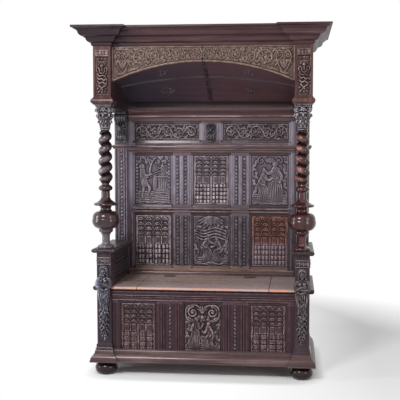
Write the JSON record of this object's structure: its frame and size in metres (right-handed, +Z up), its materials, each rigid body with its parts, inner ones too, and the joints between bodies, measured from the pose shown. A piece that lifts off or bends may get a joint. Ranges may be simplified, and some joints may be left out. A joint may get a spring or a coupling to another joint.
{
  "type": "settle bench",
  "caption": "Canopied hall settle in carved dark oak: chest seat with a lifting lid, panelled arms and back, twisted columns, arched canopy and deep cornice.",
  "frame": {"origin": "middle of the bench's footprint, on the floor", "axes": "+Z up, +Y to the back, +X to the right seen from the front"},
  "size_m": [1.552, 0.65, 2.15],
  "materials": {
    "dark_oak": "old waxed dark brown oak",
    "column_oak": "waxed red-brown oak, worn bright on the crests",
    "carved_oak": "carved golden-brown oak, dark in the hollows",
    "seat_oak": "worn, paler seat boards",
    "board_oak": "plain sawn boards",
    "iron": "dark wrought iron"
  },
  "bodies": {
    "frame": {"arch_frieze_board": "carved_oak", "arm_panels": "dark_oak", "arm_rails": "dark_oak", "arm_rests": "dark_oak", "back_bottom_rail": "dark_oak", "back_figure_panels": "carved_oak", "back_frieze_panels": "carved_oak", "back_middle_rail": "dark_oak", "back_mouldings": "dark_oak", "back_muntins": "dark_oak", "back_post_brackets": "dark_oak", "back_stiles": "dark_oak", "back_string_rail": "dark_oak", "back_top_rail": "dark_oak", "back_tracery_panels": "dark_oak", "bead_strips": "dark_oak", "bun_feet": "dark_oak", "canopy_block_panels": "dark_oak", "canopy_boards": "board_oak", "canopy_end_panels": "dark_oak", "canopy_side_boards": "dark_oak", "ceiling_boards": "dark_oak", "ceiling_rib_and_bosses": "dark_oak", "chest_back_board": "board_oak", "chest_bottom_rail": "dark_oak", "chest_centre_panel": "dark_oak", "chest_floor": "board_oak", "chest_side_panels": "dark_oak", "chest_side_rails": "dark_oak", "chest_top_rail": "dark_oak", "chest_tracery_panels": "dark_oak", "chest_uprights": "dark_oak", "cornice_front": "dark_oak", "cornice_sides": "dark_oak", "draw_pegs": "dark_oak", "hinge_fixed_leaves": "iron", "hinge_pins": "iron", "left_back_post": "dark_oak", "left_baluster": "column_oak", "left_canopy_block": "dark_oak", "left_capital": "column_oak", "left_front_post": "dark_oak", "left_twist_shaft": "column_oak", "pedestal_caps": "dark_oak", "plinth_front": "dark_oak", "plinth_sides": "dark_oak", "right_back_post": "dark_oak", "right_baluster": "column_oak", "right_canopy_block": "dark_oak", "right_capital": "column_oak", "right_front_post": "dark_oak", "right_twist_shaft": "column_oak", "seat_end_boards": "seat_oak", "seat_hinge_rail": "seat_oak", "seat_side_mouldings": "dark_oak", "term_figures": "dark_oak"},
    "lid": {"lid_front_board": "seat_oak", "lid_back_board": "seat_oak", "lid_battens": "board_oak", "hinge_lid_leaves": "iron"}
  },
  "joints": [
    {"name": "lid_hinge", "type": "hinge", "parent": "frame", "child": "lid", "pos_m": [0, 0.2145, 0.558], "axis": [-1, 0, 0], "range_deg": [0, 95]}
  ]
}
